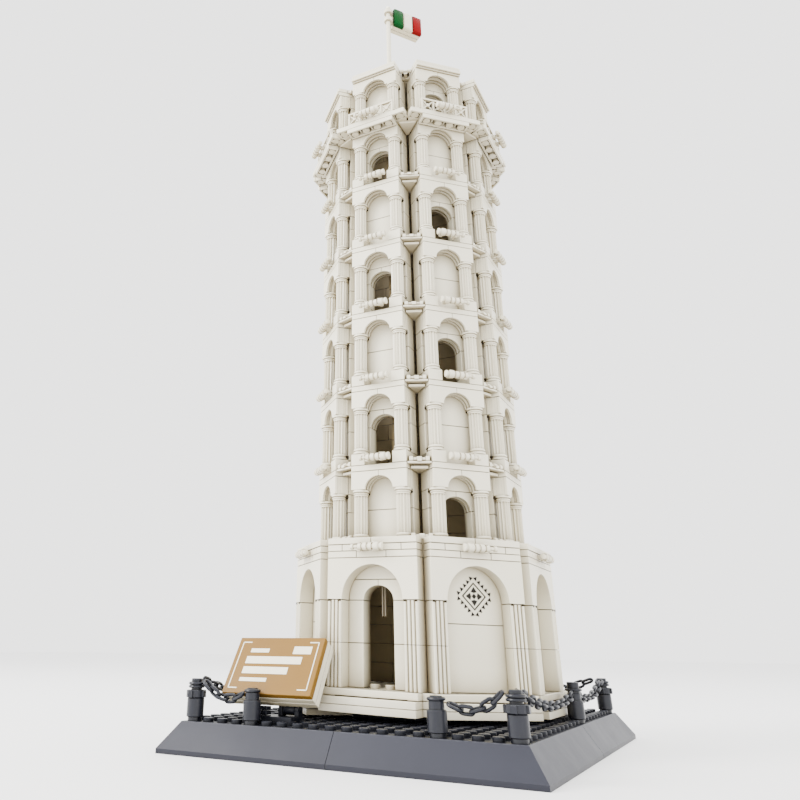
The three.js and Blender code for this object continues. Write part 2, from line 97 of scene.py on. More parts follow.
class Shape:
    """Vertices and faces in millimetres, built up from closed solids."""

    def __init__(self):
        self.verts = []
        self.faces = []

    def add(self, verts, faces):
        start = len(self.verts)
        self.verts.extend(verts)
        self.faces.extend([tuple(start + i for i in face) for face in faces])
        return self

    def block(self, x, y, z):
        verts = [(a, b, c) for c in z for b in y for a in x]
        faces = [(0, 2, 3, 1), (4, 5, 7, 6), (0, 1, 5, 4), (2, 6, 7, 3), (0, 4, 6, 2), (1, 3, 7, 5)]
        return self.add(verts, faces)

    def upright(self, outline, y):
        """An outline of (x, z), anticlockwise from the front, extruded along Y."""
        n = len(outline)
        verts = [(a, y[0], b) for a, b in outline] + [(a, y[1], b) for a, b in outline]
        faces = [tuple(range(n)), tuple(range(2 * n - 1, n - 1, -1))]
        faces += [(i, i + n, (i + 1) % n + n, (i + 1) % n) for i in range(n)]
        return self.add(verts, faces)

    def plan(self, outline, z):
        """An outline of (x, y), anticlockwise from above, extruded upwards."""
        n = len(outline)
        verts = [(a, b, z[0]) for a, b in outline] + [(a, b, z[1]) for a, b in outline]
        faces = [tuple(range(n - 1, -1, -1)), tuple(range(n, 2 * n))]
        faces += [(i, (i + 1) % n, (i + 1) % n + n, i + n) for i in range(n)]
        return self.add(verts, faces)

    def lathe(self, profile, segments, at=(0, 0, 0), along="Z", flutes=0, depth=0.0):
        """A profile of (radius, height) turned about an axis, with optional flutes."""
        verts = []
        for radius, height in profile:
            for step in range(segments):
                angle = 2 * math.pi * step / segments
                r = radius
                if flutes:
                    r -= depth * (0.5 - 0.5 * math.cos(flutes * angle)) ** FLUTE_SHARPNESS
                a, b = r * math.cos(angle), r * math.sin(angle)
                point = {"Z": (a, b, height), "X": (height, a, b), "Y": (a, height, b)}[along]
                verts.append(tuple(p + q for p, q in zip(point, at)))
        faces = ring_faces(len(profile), segments)
        last = (len(profile) - 1) * segments
        faces.append(tuple(range(segments - 1, -1, -1)))
        faces.append(tuple(range(last, last + segments)))
        return self.add(verts, faces)

    def stud(self, x, y, z, segments=18):
        foot, chamfer = 0.3, 0.25
        profile = [(STUD_R, z - foot), (STUD_R, z + STUD_H - chamfer), (STUD_R - chamfer, z + STUD_H)]
        return self.lathe(profile, segments, (x, y, 0))

    def loop(self, path, radius, segments=8):
        """A round wire along a closed path."""
        n = len(path)
        points = [Vector(p) for p in path]
        middle = sum(points, Vector()) / n
        normal = (points[0] - middle).cross(points[n // 4] - middle).normalized()
        verts = []
        for i, p in enumerate(points):
            tangent = (points[(i + 1) % n] - points[i - 1]).normalized()
            out = tangent.cross(normal).normalized()
            for step in range(segments):
                angle = 2 * math.pi * step / segments
                q = p + out * (radius * math.cos(angle)) + normal * (radius * math.sin(angle))
                verts.append(tuple(q))
        return self.add(verts, ring_faces(n, segments, closed=True))

    def merge(self, other, matrix=Matrix.Identity(4)):
        return self.add([tuple(matrix @ Vector(v)) for v in other.verts], other.faces)


def turn(side):
    return Matrix.Rotation(EIGHTH * side, 4, "Z")


def around(make, sides=range(8)):
    """Shapes for each side of the tower, joined into one."""
    whole = Shape()
    for side in sides:
        whole.merge(make(side), turn(side))
    return whole


def on_sides(shape):
    """The same shape on all eight sides of the tower."""
    return around(lambda side: shape)


def on_corners(shape):
    """The same shape on all eight corners of the tower."""
    return around(lambda side: Shape().merge(shape, turn(0.5)))


def octagon(flat):
    """Corners of an eight-sided outline, from the distance between its middle and its sides."""
    reach = flat / math.cos(EIGHTH / 2)
    return [(reach * math.cos(EIGHTH * (i + 0.5)), reach * math.sin(EIGHTH * (i + 0.5))) for i in range(8)]


def arc(width, rise, spring, steps=12):
    """Points of a rounded arch from its right springing to its left."""
    return [
        (width / 2 * math.cos(math.pi * i / steps), spring + rise * math.sin(math.pi * i / steps))
        for i in range(steps + 1)
    ]


def arch_block(shape, half, z, width, rise, y, split=True, steps=14):
    """A block with an arched underside, in two halves when it is split at the crown."""
    curve = arc(width, rise, z[0], steps)
    middle = steps // 2
    if not split:
        outline = [(-half, z[0]), *reversed(curve), (half, z[0]), (half, z[1]), (-half, z[1])]
        return shape.upright(outline, y)
    right = [
        (SEAM / 2, curve[middle][1]), *reversed(curve[:middle]), (half, z[0]), (half, z[1]), (SEAM / 2, z[1]),
    ]
    left = [(-a, b) for a, b in reversed(right)]
    shape.upright(right, y)
    return shape.upright(left, y)


# ---- materials
# Painted shade goes into creases twice: narrow seams and broad recesses, as (reach in m, shut, open, weight)
CREASES = ((0.0012, 0.3, 0.92, 0.9), (0.010, 0.15, 0.95, 0.75))
UNDERSIDE_SHADE = 0.6  # how far downward faces go to the painted shade colour, as shade under things
# Painted shade inside the tower: its colour, and how far the walls go to it
INTERIOR_SHADE = (0.10, 0.074, 0.04)
INTERIOR_WEIGHT = 0.93
WORN_RADIUS = 0.0005
BUMP_DISTANCE = 0.0001
PLASTIC_IOR = 1.53
COAT = 0.16  # clear coat, as a share of the shine


class Graph:
    """A material's nodes, with sockets that take a number, a colour or another node's output."""

    def __init__(self, material):
        material.use_nodes = True
        self.nodes, self.links = material.node_tree.nodes, material.node_tree.links
        self.shader = self.nodes["Principled BSDF"]
        self.place = self.nodes.new("ShaderNodeTexCoord").outputs["Object"]

    def plug(self, socket, value):
        if isinstance(value, (int, float)):
            socket.default_value = value
        elif isinstance(value, tuple):
            socket.default_value = value if len(socket.default_value) == 3 else (*value, 1)
        else:
            self.links.new(value, socket)

    def node(self, kind, samples=0, **values):
        """A new node's outputs, after its inputs are given the keywords' values."""
        node = self.nodes.new(f"ShaderNode{kind}")
        if samples:
            node.samples = samples
        for key, value in values.items():
            self.plug(node.inputs[key], value)
        return node.outputs

    def facing(self):
        return self.node("NewGeometry")["Normal"]

    def noise(self, scale, detail=3.0, rough=0.5, distortion=0.0):
        values = {"Scale": scale, "Detail": detail, "Roughness": rough, "Distortion": distortion}
        return self.node("TexNoise", Vector=self.place, **values)["Fac"]

    def ramp(self, value, low, high, at=(0.35, 0.65)):
        node = self.nodes.new("ShaderNodeValToRGB")
        for element, colour, position in zip(node.color_ramp.elements, (low, high), at):
            element.position = position
            element.color = (*colour, 1)
        self.plug(node.inputs["Fac"], value)
        return node.outputs["Color"]

    def mix(self, factor, first, second):
        return self.node("MixRGB", Fac=factor, Color1=first, Color2=second)["Color"]

    def calc(self, kind, operation, *values):
        """A Math or VectorMath node's outputs."""
        node = self.nodes.new(f"ShaderNode{kind}")
        node.operation = operation
        for socket, value in zip(node.inputs, values):
            self.plug(socket, value)
        return node.outputs

    def times(self, first, second):
        return self.calc("Math", "MULTIPLY", first, second)[0]

    def rescale(self, value, low, high, first, last):
        """A value from low to high, turned into one from first to last."""
        values = {"From Min": low, "From Max": high, "To Min": first, "To Max": last}
        return self.node("MapRange", Value=value, **values)["Result"]


def plastic(
    name, colour, rough=0.28, tint=0.03, grime=0.0, wear=0.0, bump=0.02, painted_shade=None, inside=None, shine=0.5
):
    """Moulded plastic: flow marks, grain, smudges, rubbed edges, and painted shade in joints, under things
    and inside.
    """
    material = bpy.data.materials.new(name)
    graph = Graph(material)
    black, white = (0, 0, 0), (1, 1, 1)

    darker = tuple(c * (1 - tint) for c in colour)
    lighter = tuple(min(1.0, c * (1 + tint)) for c in colour)
    body = graph.ramp(graph.noise(38.0, 4.0, 0.55, 0.6), darker, lighter)
    if grime:
        patches = graph.ramp(graph.noise(14.0, 5.0, 0.6, 0.3), black, white, (0.5, 0.8))
        body = graph.mix(graph.times(patches, grime), body, tuple(c * 0.86 for c in colour))
    if wear:
        corner = graph.node("Bevel", samples=4, Radius=WORN_RADIUS)["Normal"]
        even = graph.calc("VectorMath", "DOT_PRODUCT", corner, graph.facing())["Value"]
        edge = graph.ramp(even, white, black, (0.86, 0.99))
        broken = graph.ramp(graph.noise(600.0, 2.0), black, white, (0.35, 0.7))
        rubbed = tuple(min(1.0, c * 1.5 + 0.06) for c in colour)
        body = graph.mix(graph.times(graph.times(edge, broken), wear), body, rubbed)
    # Painted shade: seams and recesses darken where ambient occlusion finds little open space
    if painted_shade:
        for reach, shut, wide, weight in CREASES:
            hollow = graph.node("AmbientOcclusion", samples=6, Distance=reach)["AO"]
            body = graph.mix(graph.rescale(hollow, shut, wide, weight, 0.0), body, painted_shade)
        # Painted shade under things: faces turned downward darken
        downward = graph.node("SeparateXYZ", Vector=graph.facing())["Z"]
        body = graph.mix(graph.rescale(downward, -1.0, -0.15, UNDERSIDE_SHADE, 0.0), body, painted_shade)
    # Painted shade: walls close to the tower's axis darken, as little light gets inside
    if inside:
        flat = graph.calc("VectorMath", "MULTIPLY", graph.place, (1, 1, 0))["Vector"]
        radius = graph.calc("VectorMath", "LENGTH", flat)["Value"]
        body = graph.mix(graph.rescale(radius, *inside, INTERIOR_WEIGHT, 0.0), body, INTERIOR_SHADE)

    smudge = graph.rescale(graph.noise(60.0, 6.0, 0.65, 0.4), 0.0, 1.0, max(0.05, rough - 0.07), rough + 0.12)
    grain = graph.node("Bump", Strength=bump, Distance=BUMP_DISTANCE, Height=graph.noise(2600.0, 2.0))
    waves = graph.node("TexWave", Vector=graph.place, Scale=900.0, Distortion=22.0, Detail=3.0)["Fac"]
    grain = grain["Normal"]
    hair = graph.node("Bump", Strength=bump * 0.25, Distance=BUMP_DISTANCE, Height=waves, Normal=grain)
    for socket, value in (
        ("Base Color", body), ("Roughness", smudge), ("Normal", hair["Normal"]), ("IOR", PLASTIC_IOR),
        ("Specular IOR Level", shine), ("Coat Weight", COAT * shine), ("Coat Roughness", 0.12),
    ):
        graph.plug(graph.shader.inputs[socket], value)
    return material


# The brown of painted shade
SHADE_BROWN = (0.22, 0.17, 0.09)
CLEAN = (0.785, 0.735, 0.575)
TOWER_INSIDE = (0.0412, 0.0445)  # radii in metres over which painted shade darkens the walls inside
GROUND_INSIDE = (0.0515, 0.0575)
IVORY_LOOK = {"rough": 0.3, "tint": 0.02, "grime": 0.2, "wear": 0.25, "bump": 0.05, "painted_shade": SHADE_BROWN}
DARK_LOOK = {"tint": 0.08, "grime": 0.3, "wear": 0.25, "bump": 0.05, "painted_shade": (0.002, 0.002, 0.003)}
FLAG_LOOK = {"rough": 0.35, "tint": 0.05, "grime": 0.2, "wear": 0.2, "bump": 0.04, "shine": 0.05}

IVORY = plastic("moulded_ivory", CLEAN, **IVORY_LOOK)
# Copies of the ivory that darken towards the axis: painted shade inside the tower
TOWER_IVORY = plastic("moulded_ivory_tower", CLEAN, inside=TOWER_INSIDE, **IVORY_LOOK)
GROUND_IVORY = plastic("moulded_ivory_ground", CLEAN, inside=GROUND_INSIDE, **IVORY_LOOK)
CREAM = plastic("moulded_tan", (0.66, 0.60, 0.42), 0.32, 0.03, 0.3, 0.25, 0.05, SHADE_BROWN)
# The core bricks are the painted shade brown: the core painted as it looks in the shade inside the tower
DIM = plastic("moulded_dim", SHADE_BROWN, 0.45, 0.1, 0.4, 0.1, 0.05, (0.05, 0.035, 0.018), shine=0.2)
SLATE = plastic(
    "moulded_grey", (0.0175, 0.0185, 0.028), 0.40, 0.06, 0.3, 0.5, 0.05, (0.006, 0.006, 0.010), shine=0.2
)
DARK = plastic("moulded_dark", (0.0095, 0.0105, 0.0165), 0.40, shine=0.14, **DARK_LOOK)
CHAIN = plastic("moulded_chain", (0.0085, 0.0095, 0.0150), 0.30, shine=0.24, **DARK_LOOK)
GOLD = plastic(
    "moulded_gold", (0.185, 0.092, 0.0075), 0.42, 0.04, 0.25, 0.3, 0.06, (0.09, 0.045, 0.008), shine=0.2
)
GREEN = plastic("moulded_green", (0.0004, 0.052, 0.008), painted_shade=(0.0002, 0.012, 0.002), **FLAG_LOOK)
RED = plastic("moulded_red", (0.19, 0.0008, 0.002), painted_shade=(0.05, 0.0004, 0.0006), **FLAG_LOOK)
# Dark boxes and dots in gaps, holes and corners, where shade falls: painted shadow
SHADOW = plastic("shadow_gap", (0.030, 0.022, 0.013), 0.8, 0.1, shine=0.1)
INK = plastic("dark_inlay", (0.012, 0.009, 0.006), 0.5, 0.15, bump=0.04, shine=0.2)


# ---- meshes and pieces
# Edges that turn by more than these angles are chamfered, shaded as sharp, or bevelled on a kept CAD node
CHAMFERED = math.radians(40)
SHARP = math.radians(33)
BEVELLED = math.radians(30)


def mesh(name, material, *parts):
    """One mesh from (shape, edge width in mm) pairs: each shape's edges get a chamfer of its own width."""
    whole = bmesh.new()
    for shape, edge in parts:
        data = bpy.data.meshes.new("part")
        data.from_pydata([(x * MM, y * MM, z * MM) for x, y, z in shape.verts], [], shape.faces)
        bm = bmesh.new()
        bm.from_mesh(data)
        bmesh.ops.recalc_face_normals(bm, faces=bm.faces)
        if edge:
            sharp = [e for e in bm.edges if len(e.link_faces) == 2 and e.calc_face_angle(0) > CHAMFERED]
            bmesh.ops.bevel(
                bm, geom=sharp, offset=edge * MM, segments=1, profile=0.5, affect="EDGES", clamp_overlap=True
            )
        bm.to_mesh(data)
        bm.free()
        whole.from_mesh(data)
        bpy.data.meshes.remove(data)
    result = bpy.data.meshes.new(name)
    whole.to_mesh(result)
    whole.free()
    result.shade_smooth()
    result.set_sharp_from_angle(angle=SHARP)
    result.materials.append(material)
    return result


def put(name, data):
    """A new object in the scene."""
    obj = bpy.data.objects.new(name, data)
    bpy.context.scene.collection.objects.link(obj)
    return obj


def piece(name, data, body="monument", matrix=Matrix.Identity(4), stands_for=()):
    """Places a mesh as a piece that rides on a body and stands for CAD nodes."""
    obj = put(name, data)
    obj.matrix_world = matrix
    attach(obj, body)
    if stands_for:
        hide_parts(*stands_for)
    return obj


def build(name, material, *parts, **placing):
    """A piece with a mesh of its own."""
    return piece(name, mesh(name, material, *parts), **placing)


def at_level(z):
    """A place on the tower's axis."""
    return TOWER @ Matrix.Translation((0, 0, z * MM))


def keep(node, material, edge=0.25):
    """A CAD node that stays, with its own material and softened edges."""
    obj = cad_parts[node]
    obj.data.materials.clear()
    obj.data.materials.append(material)
    bevel = obj.modifiers.new("edges", "BEVEL")
    bevel.width = edge * MM
    bevel.segments = 2
    bevel.limit_method = "ANGLE"
    bevel.angle_limit = BEVELLED
    bevel.harden_normals = True
    return obj


# ---- base
for corner in ("front_left", "front_right", "back_left", "back_right"):
    keep(f"border_{corner}", SLATE, 0.35)
keep("base_lower_deck", DARK, 0.2)

# Each post's column and row of studs, and its sort
LAST_COLUMN, LAST_ROW = COLUMNS - 1, ROWS - 1
FENCE = {
    "front_left": (0, 0, "corner"),
    "front_inner_left": (4, 0, "plain"),
    "front_inner_right": (15, 0, "plain"),
    "front_right": (LAST_COLUMN, 0, "corner"),
    "side_right": (LAST_COLUMN, 13, "tall"),
    "back_right": (LAST_COLUMN, LAST_ROW, "corner"),
    "back_middle": (10, LAST_ROW, "tall"),
    "back_left": (0, LAST_ROW, "corner"),
    "side_left": (0, 13, "tall"),
}
FOOTING_R = 44  # studs under the tower are left out


def column_x(column):
    return STUD * (column + 0.5 - COLUMNS / 2)


def row_y(row):
    return STUD * (row + 0.5 - ROWS / 2)


def studded_deck():
    plates = Shape()
    half_x, half_y = COLUMNS * STUD / 2, ROWS * STUD / 2
    for x in ((-half_x, -SEAM), (SEAM, half_x)):
        for y in ((-half_y, -SEAM), (SEAM, half_y)):
            plates.block(x, y, (BASE_Z - PLATE, BASE_Z))
    studs = Shape()
    taken = {(c, r) for c, r, _ in FENCE.values()}
    for column in range(COLUMNS):
        for row in range(ROWS):
            x, y = column_x(column), row_y(row)
            if (column, row) in taken or math.hypot(x, y) < FOOTING_R:
                continue
            studs.stud(x, y, BASE_Z)
    return plates, studs


plates, studs = studded_deck()
build("studded_deck", DARK, (plates, 0.15), (studs, 0), stands_for=("base_studded_deck",))
keep("tower_footing", DARK, 0.2)


# ---- fence posts
# Profiles as (radius, height) above the deck: a round brick, a neck and a top
BRICK_PROFILE = [(3.3, 0.0), (3.3, 1.5), (3.7, 1.62), (4.0, 1.9), (4.0, 9.2), (3.7, 9.6)]
NECK_PROFILE = [(3.15, 9.62), (3.15, 12.6), (2.95, 12.8)]
POST_PROFILES = {
    "plain": BRICK_PROFILE + NECK_PROFILE + [(2.55, 12.82), (2.55, 14.2), (2.3, 14.5)],
    "tall": BRICK_PROFILE + NECK_PROFILE + [(2.85, 12.82), (2.85, 17.3), (2.6, 17.6)],
    "corner": BRICK_PROFILE + [(3.7, 12.8), (2.6, 12.82), (2.6, 17.3), (2.35, 17.6)],
}
HOOK_Z = {"plain": 12.1, "tall": 12.1, "corner": 16.6}
# Where the lowest ring lies, its inner radius, and how many rings there are
RINGS = {"plain": (13.4, 2.6, 1), "tall": (14.2, 2.9, 1), "corner": (14.2, 2.65, 2)}
RING_WIRE = 0.62
RING_STEP = 1.35
POST_LIFT = 0.05  # clear of the deck


def post_shape(kind):
    profile, tabs, rings = Shape(), Shape(), Shape()
    profile.lathe(POST_PROFILES[kind], 32)
    if kind == "corner":
        tabs.lathe([(4.7, 9.66), (4.7, 12.74)], 8)
        for quarter in range(4):
            tab = Shape().block((-1.3, 1.3), (-5.0, -3.5), (9.66, 12.5))
            tabs.merge(tab, Matrix.Rotation(math.pi / 2 * quarter, 4, "Z"))
    level, inner, count = RINGS[kind]
    for step in range(count):
        middle, z = inner + RING_WIRE, level + RING_STEP * step
        turns = [2 * math.pi * i / 24 for i in range(24)]
        rings.loop([(middle * math.cos(a), middle * math.sin(a), z) for a in turns], RING_WIRE)
    return profile, tabs, rings


for kind in POST_PROFILES:
    body, tabs, rings = post_shape(kind)
    parts = [(body, 0), (rings, 0)] + ([(tabs, 0.2)] if tabs.verts else [])
    data = mesh(f"post_{kind}", CHAIN, *parts)
    for name, (column, row, sort) in FENCE.items():
        if sort != kind:
            continue
        place = Matrix.Translation((column_x(column) * MM, row_y(row) * MM, (BASE_Z + POST_LIFT) * MM))
        if sort != "corner":
            place = place @ Matrix.Rotation(0.3 * (column + row), 4, "Z")
        piece(f"fence_post_{name}", data, matrix=place, stands_for=(f"post_{name}",))


# ---- chains
LINK_LENGTH = 7.4
LINK_WIDTH = 4.6
LINK_PITCH = 5.35
LINK_END = 0.45  # how far the first and last links reach past the chain's ends
WIRE = 0.74
CHAIN_REACH = 4.8  # from a post's axis to the chain's end
HOOK_LIFT = 0.3
SAMPLES = 200  # steps along a chain's curve
NEAR = 6  # steps on each side of a link that give its direction
LINK_ROLL = 0.35
LINK_WOBBLE = 0.16


def link(shape, centre, tangent, roll):
    """One oval link centred on the chain's line."""
    side = Vector((0, 0, 1)).cross(tangent).normalized()
    up = tangent.cross(side).normalized()
    across = side * math.cos(roll) + up * math.sin(roll)
    half = LINK_LENGTH / 2 - WIRE
    radius = LINK_WIDTH / 2 - WIRE
    straight = half - radius
    path = []
    for sign in (1, -1):
        for i in range(8):
            a = -sign * math.pi / 2 + math.pi * i / 7
            reach = sign * straight + radius * math.cos(a)
            path.append(centre + tangent * reach + across * (radius * math.sin(a)))
    shape.loop(path, WIRE, 8)


def chain_shape(first, second, sag):
    """Links along a sagging curve between two posts, every other one turned by a right angle."""
    ends = []
    for name in (first, second):
        column, row, kind = FENCE[name]
        ends.append(Vector((column_x(column), row_y(row), BASE_Z + HOOK_LIFT + HOOK_Z[kind])))
    along = ends[1] - ends[0]
    along.z = 0
    along.normalize()
    start, end = ends[0] + along * CHAIN_REACH, ends[1] - along * CHAIN_REACH
    control = (start + end) / 2
    control.z -= 2 * sag

    def at(t):
        return start * (1 - t) ** 2 + control * (2 * t * (1 - t)) + end * t**2

    samples = [at(i / SAMPLES) for i in range(SAMPLES + 1)]
    length = [0.0]
    for a, b in zip(samples, samples[1:]):
        length.append(length[-1] + (b - a).length)
    count = max(3, round((length[-1] - 0.3) / LINK_PITCH))
    pitch = (length[-1] - LINK_LENGTH + 2 * LINK_END) / (count - 1)
    shape = Shape()
    for i in range(count):
        target = LINK_LENGTH / 2 - LINK_END + pitch * i
        index = min(range(SAMPLES + 1), key=lambda k: abs(length[k] - target))
        near, far = samples[max(0, index - NEAR)], samples[min(SAMPLES, index + NEAR)]
        wobble = LINK_WOBBLE * math.sin(2.3 * i + start.x * 0.11)
        roll = (math.pi / 2 if i % 2 else 0.0) + LINK_ROLL + wobble
        link(shape, samples[index], (far - near).normalized(), roll)
    return shape


# The posts each chain hangs between, and its sag
CHAINS = {
    "front_left": ("front_left", "front_inner_left", 4.5),
    "front_right": ("front_inner_right", "front_right", 4.5),
    "right_front": ("front_right", "side_right", 5.0),
    "right_back": ("side_right", "back_right", 5.0),
    "back_right": ("back_right", "back_middle", 5.0),
    "back_left": ("back_middle", "back_left", 5.0),
    "left_back": ("back_left", "side_left", 5.0),
    "left_front": ("side_left", "front_left", 5.0),
}
for name, (first, second, sag) in CHAINS.items():
    links = chain_shape(first, second, sag)
    build(f"links_{name}", CHAIN, (links, 0), body=f"chain_{name}", stands_for=(f"chain_{name}",))


# ---- plinth
def plinth_shape():
    """Three layers of plates: two wide ones and a narrower one on top."""
    plates, floor, gaps = Shape(), Shape(), Shape()
    levels = [PLINTH_Z + PLATE * layer for layer in range(4)]
    for side in range(8):
        face = 68.8 if side in (2, 6) else 73.0
        foot = Shape()
        foot.block((-24, 24), (-face, -62), (levels[0], levels[1] - SEAM / 2))
        foot.block((-24, 24), (-face, -62), (levels[1] + SEAM / 2, levels[2] - SEAM))
        foot.block((-24, 24), (-face + 3, -60), (levels[2] + SEAM, levels[3] - SEAM))
        plates.merge(foot, turn(side))
        # Dark slots along the plate seams: painted shadow
        gap = Shape()
        gap.block((-17, 19), (-face + 2.75, -face + 3.4), (levels[2] - 0.15, levels[2] + 0.38))
        gap.block((-23.4, 23.4), (-face + 0.5, -face + 4), (levels[1] - 0.1, levels[1] + 0.1))
        gaps.merge(gap, turn(side))
    for layer, lift in enumerate((0.2, SEAM, SEAM)):
        floor.plan(octagon(64.8), (levels[layer] + lift, levels[layer + 1] - SEAM))
    return plates, floor, gaps


plates, floor, gaps = plinth_shape()
build("plinth_plates", IVORY, (plates, 0.2), (floor, 0.2), matrix=TOWER, stands_for=("plinth",))
build("plinth_gaps", SHADOW, (gaps, 0), matrix=TOWER)
keep("lean_shim", CREAM, 0.2)


# ---- ground storey
def pilaster(shape, x, z):
    """A pilaster one stud wide with rounded ribs down its front."""
    ribs, half, relief = 4, 3.95, 0.9
    front, back = GROUND_LAYER[0] + relief, GROUND_LAYER[1]
    outline = [(x - half, back), (x - half, front)]
    pitch = 2 * half / ribs
    for rib in range(ribs):
        middle = x - half + pitch * (rib + 0.5)
        for step in range(7):
            angle = math.pi - math.pi * step / 6
            outline.append((middle + 0.42 * pitch * math.cos(angle), front - relief * math.sin(angle)))
    outline += [(x + half, front), (x + half, back)]
    shape.plan(outline, z)


def ground_wall(blocks, x, z):
    """A stretch of the inner wall, with its back cut to meet the next side's wall."""
    lo, hi = x
    narrow = 20.6
    back_lo = max(lo, -narrow) if lo < 0 else lo
    back_hi = min(hi, narrow) if hi > 0 else hi
    front, back = GROUND_WALL
    blocks.plan([(lo, front), (hi, front), (back_hi, back), (back_lo, back)], z)


def ground_inlay(inlay):
    """A plain geometric diamond: a frame, a star and four wedges, inside a row of small teeth."""
    aside, centre = 1.6, 41.3
    front = (GROUND_WALL[0] - 0.16, GROUND_WALL[0] + 0.1)

    def diamond(r):
        return [(aside, centre - r), (aside + r, centre), (aside, centre + r), (aside - r, centre)]

    outer, inner, edge = diamond(6.3), diamond(5.55), diamond(8.5)
    for i in range(4):
        j = (i + 1) % 4
        inlay.upright([outer[i], outer[j], inner[j], inner[i]], front)
    teeth, gap = 5, 0.015
    for i in range(4):
        a, b = Vector(edge[i]), Vector(edge[(i + 1) % 4])
        out = ((a + b) / 2 - Vector((aside, centre))).normalized()
        for step in range(teeth):
            p, q = a.lerp(b, step / teeth + gap), a.lerp(b, (step + 1) / teeth - gap)
            inlay.upright([tuple(p), tuple((p + q) / 2 + out * 1.75), tuple(q)], front)
    inlay.upright(diamond(1.25), front)
    for quarter in range(4):
        spin = Matrix.Rotation(math.pi / 2 * quarter, 2)
        wedge = [spin @ Vector(p) for p in ((-1.6, 2.0), (0.0, 1.55), (1.6, 2.0), (0.0, 4.3))]
        inlay.upright([(aside + v.x, centre + v.y) for v in wedge], front)


def ground_panel(door):
    """One side of the ground storey, with a doorway or a blind wall behind its tall arch."""
    blocks, ribs, studs, dark, inlay = Shape(), Shape(), Shape(), Shape(), Shape()
    half, joint, top = 23.9, 2 * BRICK, 6 * BRICK
    for x in (-20, 20):
        pilaster(ribs, x, (0.1, joint - SEAM))
        pilaster(ribs, x, (joint + SEAM, SPRING - 0.35))
        # Dark slots beside the pilasters' tops and a dark line at their joint: painted shadow
        for notch in (-2.9, 2.9):
            dark.block((x + notch - 0.6, x + notch + 0.6), (-66.02, -59), (SPRING - 0.85, SPRING + 0.15))
        dark.block((x - 3.5, x + 3.5), (-64.9, -59), (19.0, 19.4))
    arch_block(blocks, GROUND_HALF, (SPRING, top - SEAM), 32, 16, GROUND_LAYER, split=False, steps=28)
    if door:
        lintel = SPRING + BRICK
        for sign in (-1, 1):
            jamb = sorted((sign * 8.05, sign * half))
            ground_wall(blocks, jamb, (0.1, joint - SEAM))
            ground_wall(blocks, jamb, (joint + SEAM, SPRING - SEAM))
            ground_wall(blocks, sorted((sign * 16.1, sign * half)), (SPRING + SEAM, top - SEAM))
            studs.stud(4.0 * sign, -54, 0.1)
        arch_block(blocks, GALLERY_HALF, (SPRING + SEAM, lintel - SEAM), 16, 6.8, GROUND_WALL)
        blocks.block((-GALLERY_HALF, GALLERY_HALF), GROUND_WALL, (lintel + SEAM, top - SEAM))
        for x in (-0.7, 0.7):
            blocks.block((x - 0.35, x + 0.35), (-51.6, -50.3), (SPRING - 7, SPRING + 7.5))
    else:
        middle = 3 * BRICK
        ground_wall(blocks, (-half, half), (0.1, middle - SEAM))
        ground_wall(blocks, (-half, half), (middle + SEAM, top - SEAM))
        ground_inlay(inlay)
    lift = Matrix.Translation((0, 0, GROUND_Z))
    return [Shape().merge(shape, lift) for shape in (blocks, ribs, studs, dark, inlay)]


GROUND_NAMES = ["front", "front_right", "right", "back_right", "back", "back_left", "left", "front_left"]
for door in (True, False):
    blocks, ribs, studs, dark, inlay = ground_panel(door)
    parts = [(blocks, 0.16), (ribs, 0)] + ([(studs, 0)] if studs.verts else [])
    data = mesh("ground_panel_door" if door else "ground_panel_blind", GROUND_IVORY, *parts)
    dark_data = mesh("ground_gaps", SHADOW, (dark, 0))
    inlay_data = mesh("ground_inlay", INK, (inlay, 0)) if inlay.verts else None
    for side, name in enumerate(GROUND_NAMES):
        if (side % 2 == 0) != door:
            continue
        place = TOWER @ turn(side)
        piece(f"ground_{name}_bricks", data, matrix=place, stands_for=(f"ground_panel_{name}",))
        piece(f"ground_{name}_gaps", dark_data, matrix=place)
        if inlay_data:
            piece(f"ground_{name}_inlay", inlay_data, matrix=place)


# ---- bar ornaments
def bar_ornament(face, z, mirror=1):
    """A turned bar with a knob at one end, held off the wall by two clips."""
    y = -face - 3.7
    bar = Shape()
    profile = [
        (1.0, -9.3), (1.35, -9.1), (1.35, -7.9), (0.75, -7.7), (0.75, -5.4), (1.3, -5.2), (1.8, -4.9),
        (1.8, -3.3), (1.35, -3.1), (1.35, -2.5), (1.95, -2.3), (1.95, -0.4), (1.4, -0.2), (1.4, 0.5),
        (1.95, 0.7), (1.95, 2.4), (1.45, 2.6), (1.45, 3.2), (2.1, 3.4), (2.1, 5.6), (1.9, 5.9),
        (1.5, 6.2), (1.5, 6.9), (1.9, 7.1), (1.9, 7.9), (1.2, 8.2),
    ]
    if mirror < 0:
        profile = [(r, -a) for r, a in reversed(profile)]
    bar.lathe(profile, 16, (0, y, z), "X")
    arms = Shape()
    half = 0.9
    sweep = range(-120, 121, 30)
    steps = len(sweep) - 1
    for x in (-4.7, 3.4):
        arms.block((x - half, x + half), (y + 1.2, -face + 0.6), (z - 1.1, z + 1.1))
        claw = [(2.3, math.radians(d)) for d in sweep] + [(1.6, math.radians(d)) for d in reversed(sweep)]
        ring = [(y + r * math.cos(a), z + r * math.sin(a)) for r, a in claw]
        n = len(ring)
        verts = [(x - half, a, b) for a, b in ring] + [(x + half, a, b) for a, b in ring]
        faces = []
        for i in range(steps):
            faces += [(i, i + 1, n - 2 - i, n - 1 - i), (n + n - 1 - i, n + n - 2 - i, n + i + 1, n + i)]
            faces += [(i, i + n, i + 1 + n, i + 1), (n - 1 - i, n - 2 - i, 2 * n - 2 - i, 2 * n - 1 - i)]
        faces += [(0, n - 1, 2 * n - 1, n), (steps, steps + n, steps + 1 + n, steps + 1)]
        arms.add(verts, faces)
    return bar, arms


